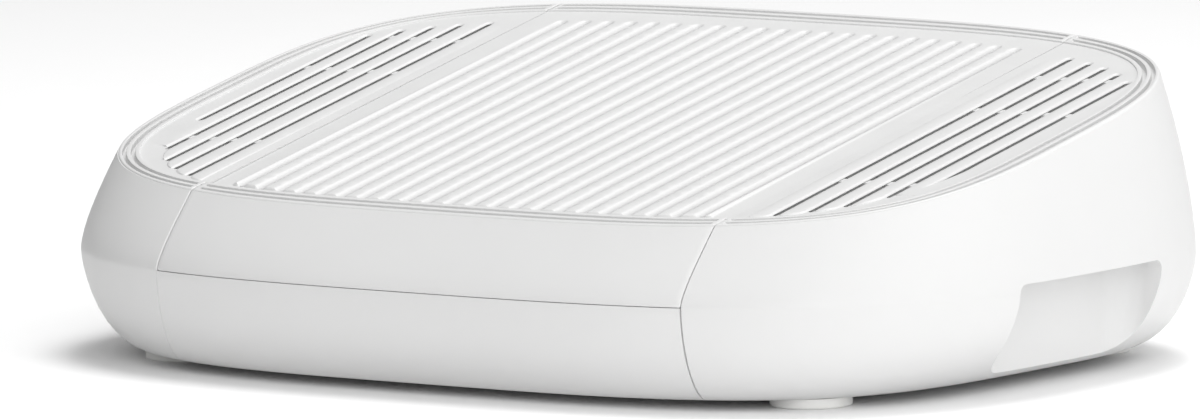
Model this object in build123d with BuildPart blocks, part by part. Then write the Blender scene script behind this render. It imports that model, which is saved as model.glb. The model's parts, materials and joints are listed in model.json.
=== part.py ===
"""Pet step that catches litter: a ribbed sloping middle section with a hollow bin at each end.

Millimetres, +Z up. The origin is on the floor under the middle of the step, X runs along
the front, and the low front edge faces -Y. Both bins pull out sideways, along X.
"""
from build123d import *
from math import atan2, cos, hypot, pi, sin
import os

# ---- outer form ----
CREASE_HALF_WIDTH = 250.0   # widest outline, all round at one height
CREASE_HALF_DEPTH = 178.0
CREASE_POWER = 3.0          # exponent of the superellipse outline
CREASE_Z = 47.0
RIM_HALF_WIDTH = 236.5      # outline of the sloping top
RIM_HALF_DEPTH = 150.0
RIM_POWER = 3.3
RIM_TIGHTEN = 0.038         # exponent gained per millimetre inwards, so rim bands keep their width
RIM_SHIFT = 1.5             # the top's centre lies this far behind the origin
RIM_Z = 109.2               # height of the top plane over the origin
RIM_SLOPE = 0.203           # rise of the top plane per unit of Y
SHOULDER_POWER = 1.4        # how late the upper wall leans inwards
BASE_HALF_WIDTH = 206.0     # flat underside
BASE_HALF_DEPTH = 162.0
BASE_POWER = 3.5
BASE_Z = 4.6                # gap between floor and underside
OUTLINE_STEPS = 14
UPPER_LEVELS = 5
LOWER_LEVELS = 6

# ---- walls and seams ----
WALL = 2.6
SEAM_X = 143.5              # planes where the bins meet the middle section
SEAM_GAP = 0.4
END_WALL = 2.5              # end walls of the middle section
PARTING_GAP = 0.3           # gap between the two halves of the middle section
CENTER_FACE_X = SEAM_X - SEAM_GAP / 2
BIN_FACE_X = SEAM_X + SEAM_GAP / 2
END_WALL_X = CENTER_FACE_X - END_WALL

# ---- top plate, heights measured down from the rim plane ----
RIDGE = 2.6                 # three thin rim ridges with two grooves between them
RIM_GROOVE = 2.6
RIM_GROOVE_DEPTH = 2.6
RIM_BAND = 3 * RIDGE + 2 * RIM_GROOVE
RIM_GROOVE_OFFSETS = [RIDGE, 2 * RIDGE + RIM_GROOVE]
RIM_BRIDGE = 2.5            # rim grooves stop this far from each seam
PLATE_DROP = 0.8
BIN_PLATE_UNDERSIDE = 4.6
CENTER_PLATE_UNDERSIDE = 7.0
TREAD_GROOVE_BOTTOM = 4.8
GROOVE_WIDTH = 3.6
GROOVE_PITCH = 12.0
CENTER_GROOVES = 22
SIDE_SLOTS_X = [161.0, 174.5, 186.5, 198.5, 210.5]
GROOVE_FRONT = (211.8, 135.5, 3.4)   # half-width, half-depth, power of the curve of groove ends
GROOVE_BACK = (236.5, 125.0, 3.0)
CORE_WIDTH = 3.4            # hollows moulded under the ribs of the tread
CORE_TOP = 3.2
CROSS_BAR_Y = [-65.0, 38.5, 87.0]    # bars under the slots of each bin
CROSS_BAR = 4.0

# ---- finger recess in each bin's end wall ----
NOTCH_HALF_WIDTH = 55.0
NOTCH_X = 224.0
NOTCH_TOP = 51.5
NOTCH_CORNER = 15.0

# ---- guide rails and runners ----
RUNNER_Y = 78.0
RUNNER_WIDTH = 20.0
RUNNER_HEIGHT = 6.0
RUNNER_Z = 13.75            # underside of the runner
RUNNER_REACH = 93.0         # how far a runner enters the middle section
RUNNER_TAIL = 40.0          # length of runner that lies over the bin's floor
RUNNER_PLAY = 0.25
RAIL_WALL = 2.7
RAIL_FLANGE = 42.0
RAIL_EAR_X = [40.0, 120.0]
RAIL_EAR_Y = 17.0
LIP_HEIGHT = 32.0           # low wall that keeps litter in an open bin
LIP_THICKNESS = 2.5
FLOOR_Z = BASE_Z + WALL

# ---- fixings ----
POST_RADIUS = 5.0
POST_SPOTS = [(x, y) for x in (-120.0, 120.0) for y in (-118.0, 0.0, 118.0)]
POST_SCREW_RADIUS = 1.75
POST_HEAD_RADIUS = 3.4
POST_HEAD_Z = 33.0
SMALL_SCREW_RADIUS = 1.25
SMALL_HEAD_RADIUS = 2.6
SMALL_HEAD = 1.8
BOSS_RADIUS = 4.5
CATCH_Y = 75.0
CATCH_WIDTH = 18.0
CATCH_THICKNESS = 2.0
CATCH_BOSS = 4.0
CATCH_TIP_X = 130.0
CATCH_TAIL_X = 156.0
CATCH_SCREW_X = 151.0
CATCH_HOOK = 1.1

# ---- feet ----
BIN_FOOT = (172.0, 108.0)
BIN_FOOT_RADIUS = 18.3
CENTER_FOOT = (80.0, 104.0)
CENTER_FOOT_RADIUS = 14.0
FOOT_STEM = 4.0
FOOT_HEAD = 5.5

os.makedirs("parts", exist_ok=True)


def superellipse_y(x, half_width, half_depth, power):
    """Half-depth of the outline at a given X."""
    return half_depth * (1 - abs(x / half_width) ** power) ** (1 / power)


def rim_height(y, drop=0.0):
    """Height of the sloping top plane, less a drop, at a given Y."""
    return RIM_Z + RIM_SLOPE * y - drop


def sloped_plane(z, slope):
    """Plane that rises towards +Y, with its local X along the global X."""
    return Plane(origin=(0, 0, z), x_dir=(1, 0, 0), z_dir=(0, -slope, 1))


def middle_outline(face_x, half_width, half_depth, power, shift=0.0, slope=0.0):
    """Stretch of the superellipse between -face_x and face_x, drawn true in plan on a slope."""
    stretch = hypot(1, slope)
    xs = [face_x * (2 * step / OUTLINE_STEPS - 1) for step in range(OUTLINE_STEPS + 1)]
    depths = [superellipse_y(x, half_width, half_depth, power) for x in xs]
    front = [(x, (shift - depth) * stretch) for x, depth in zip(xs, depths)]
    back = [(x, (shift + depth) * stretch) for x, depth in zip(xs, depths)]
    with BuildSketch() as shape:
        with BuildLine():
            Spline(*front)
            Line(front[-1], back[-1])
            Spline(*reversed(back))
            Line(back[0], front[0])
        make_face()
    return shape.sketch


def end_outline(face_x, half_width, half_depth, power, shift=0.0, slope=0.0):
    """Stretch of the superellipse beyond face_x, closed by a straight line along the seam."""
    stretch = hypot(1, slope)
    half_angle = atan2(superellipse_y(face_x, half_width, half_depth, power), face_x)
    points = []
    for step in range(OUTLINE_STEPS + 1):
        angle = half_angle * (2 * step / OUTLINE_STEPS - 1)
        reach = abs(cos(angle) / half_width) ** power + abs(sin(angle) / half_depth) ** power
        radius = reach ** (-1 / power)
        points.append((radius * cos(angle), (radius * sin(angle) + shift) * stretch))
    with BuildSketch() as shape:
        with BuildLine():
            Spline(*points)
            Line(points[-1], points[0])
        make_face()
    return shape.sketch


def upper_form(section, face_x, inset=0.0, drop=0.0):
    """Solid above the crease: a level outline that tilts, shrinks and shifts into the rim."""
    with BuildPart() as form:
        for step in range(UPPER_LEVELS + 1):
            rise = step / UPPER_LEVELS
            lean = rise ** SHOULDER_POWER
            slope = RIM_SLOPE * rise
            with BuildSketch(sloped_plane(CREASE_Z + (RIM_Z - drop - CREASE_Z) * rise, slope)):
                add(section(
                    face_x,
                    CREASE_HALF_WIDTH + (RIM_HALF_WIDTH - CREASE_HALF_WIDTH) * lean - inset,
                    CREASE_HALF_DEPTH + (RIM_HALF_DEPTH - CREASE_HALF_DEPTH) * lean - inset,
                    CREASE_POWER + (RIM_POWER - CREASE_POWER) * rise,
                    RIM_SHIFT * lean,
                    slope,
                ))
        loft()
    return form


def lower_form(section, face_x, inset=0.0, floor_z=BASE_Z):
    """Solid below the crease: a bowl, rounder at the ends than at the front and back."""
    with BuildPart() as form:
        for step in range(LOWER_LEVELS + 1):
            turn = pi / 2 * step / LOWER_LEVELS
            depth = sin(turn) ** (4 / 3)
            side = 1 - cos(turn)
            front = 1 - (1 - depth ** 2) ** (5 / 6)
            with BuildSketch(Plane.XY.offset(CREASE_Z - (CREASE_Z - floor_z) * depth)):
                add(section(
                    face_x,
                    CREASE_HALF_WIDTH + (BASE_HALF_WIDTH - CREASE_HALF_WIDTH) * side - inset,
                    CREASE_HALF_DEPTH + (BASE_HALF_DEPTH - CREASE_HALF_DEPTH) * front - inset,
                    CREASE_POWER + (BASE_POWER - CREASE_POWER) * depth ** 2,
                ))
        loft()
    return form


def top_outline(section, face_x, offset):
    """Outline on the top plane, drawn in from the rim's edge by an offset."""
    power = RIM_POWER + RIM_TIGHTEN * offset
    return section(
        face_x, RIM_HALF_WIDTH - offset, RIM_HALF_DEPTH - offset, power, RIM_SHIFT, RIM_SLOPE)


def rim_ring(section, face_x, offset):
    """One concentric rim groove as a flat band that stops at face_x."""
    with BuildSketch() as ring:
        add(top_outline(section, face_x, offset))
        add(top_outline(section, face_x, offset + RIM_GROOVE), mode=Mode.SUBTRACT)
    return ring.sketch


def groove_pocket(x_positions, width=GROOVE_WIDTH, shorten=0.0):
    """Round-ended grooves along Y whose ends follow the two end curves."""
    stretch = hypot(1, RIM_SLOPE)
    with BuildSketch() as pocket:
        for x in x_positions:
            front = RIM_SHIFT - superellipse_y(x, *GROOVE_FRONT) + shorten
            back = RIM_SHIFT + superellipse_y(x, *GROOVE_BACK) - shorten
            with Locations((x, stretch * (front + back) / 2)):
                SlotOverall(stretch * (back - front), width, rotation=90)
    return pocket.sketch


def runner_window(face_x, depth, margin):
    """Openings in a wall along Y that let both runners through."""
    with BuildPart() as windows:
        for y in (-RUNNER_Y, RUNNER_Y):
            with Locations((face_x + depth / 2, y, RUNNER_Z + RUNNER_HEIGHT / 2)):
                Box(depth, RUNNER_WIDTH + 2 * margin, RUNNER_HEIGHT + 2 * margin)
    return windows


def catch_plane(y):
    """Frame on the rim plane, square to it, at a catch."""
    return Plane(origin=(0, y, rim_height(y)), x_dir=(1, 0, 0), z_dir=(0, -RIM_SLOPE, 1))


def screw(radius, length, head_radius, head):
    """Pan-head screw, head below Z = 0 and shank upwards, with a hexagon socket."""
    with BuildPart() as fastener:
        with BuildSketch(Plane.XY):
            Circle(radius)
        extrude(amount=length)
        with BuildSketch(Plane.XY.offset(-head)):
            Circle(head_radius)
        extrude(amount=head)
        fillet(fastener.edges().sort_by(Axis.Z)[0], head * 0.35)
        with BuildSketch(Plane.XY.offset(-head)):
            RegularPolygon(head_radius * 0.5, 6)
        extrude(amount=head * 0.6, mode=Mode.SUBTRACT)
        chamfer(fastener.edges().filter_by(GeomType.CIRCLE).sort_by(Axis.Z)[-1], radius * 0.4)
    return fastener


def foot(x, y, radius):
    """Soft round foot with a stem that snaps through the floor above it."""
    with BuildPart() as pad:
        with BuildSketch(Plane.XY):
            with Locations((x, y)):
                Circle(radius)
        extrude(amount=BASE_Z)
        fillet(pad.edges().group_by(Axis.Z)[0], 1.2)
        with BuildSketch(Plane.XY.offset(BASE_Z)):
            with Locations((x, y)):
                Circle(FOOT_STEM)
        extrude(amount=WALL)
        with BuildSketch(Plane.XY.offset(FLOOR_Z)):
            with Locations((x, y)):
                Circle(FOOT_HEAD)
        extrude(amount=2.0, taper=25)
    return pad


def mirrored(source):
    """The same piece on the other side of the middle plane."""
    with BuildPart() as copy:
        mirror(source.part, about=Plane.YZ)
    return copy


def keep(piece, name):
    """Label a finished piece and write it to its own file."""
    piece.part.label = name
    export_step(piece.part, f"parts/{name}.step")


# ---- middle section: ribbed tread ----
tread_grooves_x = [GROOVE_PITCH * (k + 0.5 - CENTER_GROOVES / 2) for k in range(CENTER_GROOVES)]
rib_x = [GROOVE_PITCH * (k + 1 - CENTER_GROOVES / 2) for k in range(CENTER_GROOVES - 1)]
top_plane = sloped_plane(RIM_Z, RIM_SLOPE)
tread_outer = upper_form(middle_outline, CENTER_FACE_X)
tread_hollow = upper_form(middle_outline, END_WALL_X, WALL, CENTER_PLATE_UNDERSIDE)

with BuildPart() as center_tread:
    add(tread_outer.part)
    add(tread_hollow.part, mode=Mode.SUBTRACT)
    with BuildSketch(Plane.XY.offset(CREASE_Z)):
        Rectangle(2 * CREASE_HALF_WIDTH, 2 * CREASE_HALF_DEPTH)
    extrude(amount=PARTING_GAP, mode=Mode.SUBTRACT)
    with BuildSketch(top_plane):
        add(top_outline(middle_outline, SEAM_X, RIM_BAND))
    extrude(amount=-PLATE_DROP, mode=Mode.SUBTRACT)
    for offset in RIM_GROOVE_OFFSETS:
        with BuildSketch(top_plane):
            add(rim_ring(middle_outline, SEAM_X - RIM_BRIDGE, offset))
        extrude(amount=-RIM_GROOVE_DEPTH, mode=Mode.SUBTRACT)
    with BuildSketch(top_plane):
        add(groove_pocket(tread_grooves_x))
    extrude(amount=-TREAD_GROOVE_BOTTOM, mode=Mode.SUBTRACT)
    with BuildSketch(top_plane.offset(-CENTER_PLATE_UNDERSIDE)):
        add(groove_pocket(rib_x, CORE_WIDTH, 8.0))
    extrude(amount=CENTER_PLATE_UNDERSIDE - CORE_TOP, mode=Mode.SUBTRACT)
    for y in (-60.0, 30.0, 90.0):
        with BuildSketch(Plane.YZ):
            with Locations((y, rim_height(y, CENTER_PLATE_UNDERSIDE) - 5.0)):
                Rectangle(2.0, 10.5)
        extrude(amount=END_WALL_X, both=True)
    for x, y in POST_SPOTS:
        with BuildSketch(Plane.XY.offset(CREASE_Z)):
            with Locations((x, y)):
                Circle(POST_RADIUS)
        extrude(amount=rim_height(y, CENTER_PLATE_UNDERSIDE - 1.0) - CREASE_Z)
        with BuildSketch(Plane.XY.offset(CREASE_Z)):
            with Locations((x, y)):
                Circle(POST_SCREW_RADIUS)
        extrude(amount=16.0, mode=Mode.SUBTRACT)
    for y in (-CATCH_Y, CATCH_Y):
        for x in (-(CENTER_FACE_X + END_WALL_X) / 2, (CENTER_FACE_X + END_WALL_X) / 2):
            with BuildSketch(catch_plane(y).offset(-CENTER_PLATE_UNDERSIDE - 4.2)):
                with Locations((x, 0)):
                    Rectangle(END_WALL + 1.0, CATCH_WIDTH + 1.2)
            extrude(amount=4.2, mode=Mode.SUBTRACT)

# ---- middle section: lower shell ----
base_outer = lower_form(middle_outline, CENTER_FACE_X)
base_hollow = lower_form(middle_outline, END_WALL_X, WALL, FLOOR_Z)
ear_spots = [
    (sx * x, sy * RUNNER_Y + ey)
    for sx in (-1, 1) for x in RAIL_EAR_X for sy in (-1, 1) for ey in (-RAIL_EAR_Y, RAIL_EAR_Y)
]
RAIL_Z = RUNNER_Z - RUNNER_PLAY - RAIL_WALL    # underside of a rail
center_foot_spots = [(sx * CENTER_FOOT[0], sy * CENTER_FOOT[1]) for sy in (-1, 1) for sx in (-1, 1)]

with BuildPart() as center_base:
    add(base_outer.part)
    add(base_hollow.part, mode=Mode.SUBTRACT)
    with BuildSketch(Plane.XY.offset(FLOOR_Z)):
        with Locations(*ear_spots):
            Circle(BOSS_RADIUS)
    extrude(amount=RAIL_Z - FLOOR_Z)
    with BuildSketch(Plane.XY.offset(FLOOR_Z)):
        with Locations(*POST_SPOTS):
            Circle(POST_RADIUS)
    extrude(amount=CREASE_Z - FLOOR_Z)
    with BuildSketch(Plane.XY.offset(BASE_Z)):
        with Locations(*POST_SPOTS):
            Circle(POST_HEAD_RADIUS)
    extrude(amount=POST_HEAD_Z - BASE_Z, mode=Mode.SUBTRACT)
    with BuildSketch(Plane.XY.offset(POST_HEAD_Z)):
        with Locations(*POST_SPOTS):
            Circle(POST_SCREW_RADIUS)
    extrude(amount=CREASE_Z - POST_HEAD_Z, mode=Mode.SUBTRACT)
    with BuildSketch(Plane.XY.offset(RAIL_Z - 5.0)):
        with Locations(*ear_spots):
            Circle(SMALL_SCREW_RADIUS)
    extrude(amount=5.0, mode=Mode.SUBTRACT)
    with BuildSketch(Plane.XY.offset(BASE_Z)):
        with Locations(*center_foot_spots):
            Circle(FOOT_STEM)
    extrude(amount=WALL, mode=Mode.SUBTRACT)
    add(runner_window(END_WALL_X - 0.5, END_WALL + 1.0, RUNNER_PLAY + 0.05).part, mode=Mode.SUBTRACT)
    add(runner_window(-CENTER_FACE_X - 0.5, END_WALL + 1.0, RUNNER_PLAY + 0.05).part,
        mode=Mode.SUBTRACT)

with BuildPart() as cover_screws:
    post_screw = screw(POST_SCREW_RADIUS, 28.0, POST_HEAD_RADIUS, 2.4)
    with Locations(*[(x, y, POST_HEAD_Z) for x, y in POST_SPOTS]):
        add(post_screw.part)


# ---- guide rails ----
def guide_rail(y):
    """Closed channel across the middle section, with a flange that sits on four pairs of bosses."""
    channel_height = RUNNER_HEIGHT + 2 * RUNNER_PLAY
    with BuildPart() as rail:
        with BuildSketch(Plane.YZ):
            with Locations((y, RAIL_Z + (channel_height + 2 * RAIL_WALL) / 2)):
                Rectangle(RUNNER_WIDTH + 2 * RUNNER_PLAY + 2 * RAIL_WALL, channel_height + 2 * RAIL_WALL)
            with Locations((y, RAIL_Z + RAIL_WALL / 2)):
                Rectangle(RAIL_FLANGE, RAIL_WALL)
            with Locations((y, RUNNER_Z + RUNNER_HEIGHT / 2)):
                Rectangle(RUNNER_WIDTH + 2 * RUNNER_PLAY, channel_height, mode=Mode.SUBTRACT)
        extrude(amount=END_WALL_X, both=True)
        with BuildSketch(Plane.XY.offset(RAIL_Z)):
            with Locations(*[spot for spot in ear_spots if abs(spot[1] - y) < RAIL_FLANGE]):
                Circle(SMALL_SCREW_RADIUS + 0.15)
        extrude(amount=RAIL_WALL, mode=Mode.SUBTRACT)
    return rail


front_rail = guide_rail(-RUNNER_Y)
rear_rail = guide_rail(RUNNER_Y)

with BuildPart() as rail_screws:
    rail_screw = screw(SMALL_SCREW_RADIUS, RAIL_WALL + 4.8, SMALL_HEAD_RADIUS, SMALL_HEAD)
    with Locations(*[Location((x, y, RAIL_Z + RAIL_WALL), (180, 0, 0)) for x, y in ear_spots]):
        add(rail_screw.part)

# ---- right bin ----
runner_boss_spots = [
    (BIN_FACE_X + along, side * RUNNER_Y) for side in (-1, 1) for along in (12.0, 32.0)
]
bin_foot_spots = [(BIN_FOOT[0], side * BIN_FOOT[1]) for side in (-1, 1)]

with BuildPart() as bin_hollow:
    add(lower_form(end_outline, BIN_FACE_X - 1.0, WALL, FLOOR_Z).part)
    add(upper_form(end_outline, BIN_FACE_X - 1.0, WALL, BIN_PLATE_UNDERSIDE).part)
    with Locations((BIN_FACE_X + LIP_THICKNESS / 2 - 0.5, 0, LIP_HEIGHT / 2)):
        Box(LIP_THICKNESS + 1.0, 2 * CREASE_HALF_DEPTH, LIP_HEIGHT, mode=Mode.SUBTRACT)
    with BuildSketch(Plane.XY):
        with Locations((NOTCH_X - WALL + 50, 0)):
            RectangleRounded(100.0, 2 * (NOTCH_HALF_WIDTH + WALL), NOTCH_CORNER)
    extrude(amount=NOTCH_TOP + WALL, mode=Mode.SUBTRACT)

with BuildPart() as right_bin_shell:
    add(lower_form(end_outline, BIN_FACE_X).part)
    add(upper_form(end_outline, BIN_FACE_X).part)
    add(bin_hollow.part, mode=Mode.SUBTRACT)
    with BuildSketch(Plane.XY):
        with Locations((NOTCH_X + 50, 0)):
            RectangleRounded(100.0, 2 * NOTCH_HALF_WIDTH, NOTCH_CORNER)
    extrude(amount=NOTCH_TOP, mode=Mode.SUBTRACT)
    with BuildSketch(top_plane):
        add(top_outline(end_outline, SEAM_X, RIM_BAND))
    extrude(amount=-PLATE_DROP, mode=Mode.SUBTRACT)
    for offset in RIM_GROOVE_OFFSETS:
        with BuildSketch(top_plane):
            add(rim_ring(end_outline, SEAM_X + RIM_BRIDGE, offset))
        extrude(amount=-RIM_GROOVE_DEPTH, mode=Mode.SUBTRACT)
    with BuildSketch(top_plane):
        add(groove_pocket(SIDE_SLOTS_X))
    extrude(amount=-BIN_PLATE_UNDERSIDE - 1.0, mode=Mode.SUBTRACT)
    for y in CROSS_BAR_Y:
        with BuildSketch(Plane.YZ.offset(SIDE_SLOTS_X[0] - 6.0)):
            with Locations((y, rim_height(y, BIN_PLATE_UNDERSIDE) - 1.5)):
                Rectangle(CROSS_BAR, 4.5)
        extrude(amount=SIDE_SLOTS_X[-1] + 10.0 - SIDE_SLOTS_X[0])
    with BuildSketch(Plane.XY.offset(FLOOR_Z)):
        with Locations(*runner_boss_spots):
            Circle(BOSS_RADIUS + 1.5)
    extrude(amount=RUNNER_Z - FLOOR_Z)
    with BuildSketch(Plane.XY.offset(RUNNER_Z - 8.0)):
        with Locations(*runner_boss_spots):
            Circle(SMALL_SCREW_RADIUS)
    extrude(amount=8.0, mode=Mode.SUBTRACT)
    add(runner_window(BIN_FACE_X - 0.5, LIP_THICKNESS + 1.0, 0.05).part, mode=Mode.SUBTRACT)
    with BuildSketch(Plane.XY.offset(BASE_Z)):
        with Locations(*bin_foot_spots):
            Circle(FOOT_STEM)
    extrude(amount=WALL, mode=Mode.SUBTRACT)
    for y in (-CATCH_Y, CATCH_Y):
        with BuildSketch(catch_plane(y).offset(-BIN_PLATE_UNDERSIDE - CATCH_BOSS)):
            with Locations((CATCH_SCREW_X, 0)):
                Circle(BOSS_RADIUS)
        extrude(amount=CATCH_BOSS + 0.5)
        with BuildSketch(catch_plane(y).offset(-BIN_PLATE_UNDERSIDE - CATCH_BOSS)):
            with Locations((CATCH_SCREW_X, 0)):
                Circle(SMALL_SCREW_RADIUS)
        extrude(amount=CATCH_BOSS + 2.0, mode=Mode.SUBTRACT)


def runner(y):
    """Flat bar screwed over the bin's floor that slides in a rail, with a rounded tip."""
    with BuildPart() as bar:
        with BuildSketch(Plane.XY.offset(RUNNER_Z)):
            with Locations((BIN_FACE_X + (RUNNER_TAIL - RUNNER_REACH) / 2, y)):
                RectangleRounded(RUNNER_REACH + RUNNER_TAIL, RUNNER_WIDTH, 3.0)
        extrude(amount=RUNNER_HEIGHT)
        with BuildSketch(Plane.XY.offset(RUNNER_Z)):
            with Locations(*[spot for spot in runner_boss_spots if spot[1] * y > 0]):
                Circle(SMALL_SCREW_RADIUS + 0.15)
        extrude(amount=RUNNER_HEIGHT, mode=Mode.SUBTRACT)
        with BuildSketch(Plane.XY.offset(RUNNER_Z + RUNNER_HEIGHT)):
            with Locations(*[spot for spot in runner_boss_spots if spot[1] * y > 0]):
                Circle(SMALL_HEAD_RADIUS + 0.4)
        extrude(amount=-SMALL_HEAD, mode=Mode.SUBTRACT)
    return bar


def catch(y):
    """Springy catch plate with a low hook, screwed under the bin's plate beside the seam."""
    top = -BIN_PLATE_UNDERSIDE - CATCH_BOSS
    with BuildPart() as plate:
        with BuildSketch(catch_plane(y).offset(top - CATCH_THICKNESS)):
            with Locations(((CATCH_TIP_X + CATCH_TAIL_X) / 2, 0)):
                RectangleRounded(CATCH_TAIL_X - CATCH_TIP_X, CATCH_WIDTH, 1.5)
        extrude(amount=CATCH_THICKNESS)
        with BuildSketch(catch_plane(y).offset(top)):
            with Locations((CATCH_TIP_X + 3.0, 0)):
                Rectangle(3.0, CATCH_WIDTH - 4.0)
        extrude(amount=CATCH_HOOK, taper=20)
        with BuildSketch(catch_plane(y).offset(top - CATCH_THICKNESS)):
            with Locations((CATCH_SCREW_X, 0)):
                Circle(SMALL_SCREW_RADIUS + 0.15)
        extrude(amount=CATCH_THICKNESS, mode=Mode.SUBTRACT)
    return plate


right_front_runner = runner(-RUNNER_Y)
right_rear_runner = runner(RUNNER_Y)
right_front_catch = catch(-CATCH_Y)
right_rear_catch = catch(CATCH_Y)
right_front_foot = foot(*bin_foot_spots[0], BIN_FOOT_RADIUS)
right_rear_foot = foot(*bin_foot_spots[1], BIN_FOOT_RADIUS)

with BuildPart() as right_runner_screws:
    runner_screw = screw(
        SMALL_SCREW_RADIUS, RUNNER_HEIGHT - SMALL_HEAD + 7.5, SMALL_HEAD_RADIUS, SMALL_HEAD)
    head_z = RUNNER_Z + RUNNER_HEIGHT - SMALL_HEAD
    with Locations(*[Location((x, y, head_z), (180, 0, 0)) for x, y in runner_boss_spots]):
        add(runner_screw.part)

with BuildPart() as right_catch_screws:
    catch_screw = screw(
        SMALL_SCREW_RADIUS, CATCH_THICKNESS + CATCH_BOSS + 1.5, SMALL_HEAD_RADIUS, SMALL_HEAD)
    for y in (-CATCH_Y, CATCH_Y):
        seat = catch_plane(y).offset(-BIN_PLATE_UNDERSIDE - CATCH_BOSS - CATCH_THICKNESS)
        with Locations(seat.location * Location((CATCH_SCREW_X, 0, 0))):
            add(catch_screw.part)

# ---- hand out every piece ----
keep(center_base, "center_base")
keep(center_tread, "center_tread")
keep(cover_screws, "cover_screws")
keep(front_rail, "front_rail")
keep(rear_rail, "rear_rail")
keep(rail_screws, "rail_screws")

center_foot_names = ["front_left", "front_right", "rear_left", "rear_right"]
for spot, place in zip(center_foot_spots, center_foot_names):
    keep(foot(*spot, CENTER_FOOT_RADIUS), f"center_foot_{place}")

bin_pieces = {
    "bin_shell": right_bin_shell,
    "front_runner": right_front_runner,
    "rear_runner": right_rear_runner,
    "runner_screws": right_runner_screws,
    "front_catch": right_front_catch,
    "rear_catch": right_rear_catch,
    "catch_screws": right_catch_screws,
    "front_foot": right_front_foot,
    "rear_foot": right_rear_foot,
}
for name, piece in bin_pieces.items():
    keep(piece, f"right_{name}")
    keep(mirrored(piece), f"left_{name}")
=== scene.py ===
"""Looks for the pet litter step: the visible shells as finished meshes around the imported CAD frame.

Shell shapes are written in millimetres, as in the part, and scaled to metres when they become
meshes.
"""
import json
import math
from collections import namedtuple

import bmesh
import bpy
import numpy as np
from mathutils import Matrix, Vector
from mathutils.geometry import delaunay_2d_cdt


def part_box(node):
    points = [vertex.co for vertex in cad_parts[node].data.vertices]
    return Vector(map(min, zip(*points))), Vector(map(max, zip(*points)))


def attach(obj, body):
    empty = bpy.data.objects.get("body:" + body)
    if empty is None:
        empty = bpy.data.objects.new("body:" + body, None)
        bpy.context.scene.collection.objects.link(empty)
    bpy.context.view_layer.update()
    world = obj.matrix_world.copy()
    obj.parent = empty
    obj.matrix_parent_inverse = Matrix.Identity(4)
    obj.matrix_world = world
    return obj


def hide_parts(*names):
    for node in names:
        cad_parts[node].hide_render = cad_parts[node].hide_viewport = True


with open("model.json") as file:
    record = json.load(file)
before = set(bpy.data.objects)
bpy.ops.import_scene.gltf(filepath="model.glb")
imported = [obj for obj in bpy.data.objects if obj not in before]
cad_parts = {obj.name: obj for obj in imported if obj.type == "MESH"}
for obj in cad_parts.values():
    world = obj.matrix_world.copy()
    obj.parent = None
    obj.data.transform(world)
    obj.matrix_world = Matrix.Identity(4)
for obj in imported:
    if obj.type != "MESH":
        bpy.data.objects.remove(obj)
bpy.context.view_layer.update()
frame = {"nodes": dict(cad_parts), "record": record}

MM = 0.001


def box_mm(node):
    low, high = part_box(node)
    return np.array(low) / MM, np.array(high) / MM


# ---- sizes read from the frame ----
_, tread_high = box_mm("center_tread")
base_low, base_high = box_mm("center_base")
bin_low, _ = box_mm("right_bin_shell")
CENTER_FACE = tread_high[0]
BIN_FACE = bin_low[0]
SEAM = (CENTER_FACE + BIN_FACE) / 2
CREASE_Z = base_high[2]
BASE_Z = base_low[2]
CREASE_B = base_high[1]                   # half-depth of the widest outline
RIM_B = CREASE_B - 28.0
RIM_SHIFT = 1.5
SLOPE = 0.203
RIM_Z = tread_high[2] - SLOPE * (RIM_B + RIM_SHIFT)

# ---- superellipse outlines: half-width, half-depth, power, shift along Y ----
CREASE = (250.0, CREASE_B, 3.0)
RIM = (236.5, RIM_B, 3.3)
BASE = (206.0, CREASE_B - 16.0, 3.5)
RIM_TIGHTEN = 0.038
PARTING = 0.45
SEAM_EDGE = 0.8                           # width of the chamfers along the seams
SHOULDER_POWER = 1.4
BOWL_DEPTH_POWER = 4 / 3
BOWL_FRONT_POWER = 5 / 6
WALL = 2.6
FLOOR_Z = BASE_Z + WALL

# ---- rim band, offsets inwards from the edge of the top ----
RIDGE = 2.6
RIM_GROOVE = 2.6
RIM_BAND = 3 * RIDGE + 2 * RIM_GROOVE
RIM_GROOVE_DEPTH = 2.6
BRIDGE = 2.5
PLATE_DROP = 0.8
BIN_UNDERSIDE = 4.6
TREAD_UNDERSIDE = 7.0
CENTER_GUTTER = 2.2                       # depth of the gutter in front of the ribs
BIN_GUTTER = 1.4
GROOVE_DROP = 5.0
GROOVE_PITCH = 12.0
GROOVE_COUNT = 22
GROOVE_WIDTH = 2.4
SIDE_SLOTS = (161.0, 174.5, 186.5, 198.5, 210.5)
FRONT_ENDS = (211.8, 135.5, 3.4)          # curve that the front ends of the grooves follow
BACK_ENDS = (236.5, 125.0, 3.0)
CROSS_BARS = (-65.0, 38.5, 87.0)          # places along Y

# ---- finger recess, lip, runners, catches and bars of a bin ----
NOTCH_HALF = 55.0
NOTCH_X = 224.0
NOTCH_TOP = 51.5
NOTCH_CORNER = 15.0
NOTCH_FILLET = 4.5
LIP_TOP = 32.0
LIP_WALL = 2.5
RUNNER_Y = 78.0
RUNNER_WINDOW_HALF = 10.05
RUNNER_WINDOW_Z = (13.7, 19.8)
RUNNER_BOSSES = (12.0, 32.0)              # distances from the face of the bin
RUNNER_BOSS_TOP = 13.75
RUNNER_BOSS_RADIUS = 6.0
CATCH_Y = 75.0
CATCH_WINDOW = (2.2, 9.6, 4.4)            # half-length, half-width and depth
CATCH_SCREW_X = 151.0
CATCH_BOSS = 4.0
CATCH_BOSS_RADIUS = 4.5
BAR_HALF = 2.0
BAR_TOP, BAR_BOTTOM = 2.0, 8.35           # drops below the rim plane
BAR_CHAMFER = (0.6, 0.45)
BAR_PAST = (6.0, 4.0)                     # how far the bars run past the first and last slots
INNER_WALL = 2.5                          # wall of the middle section at its seams


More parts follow.
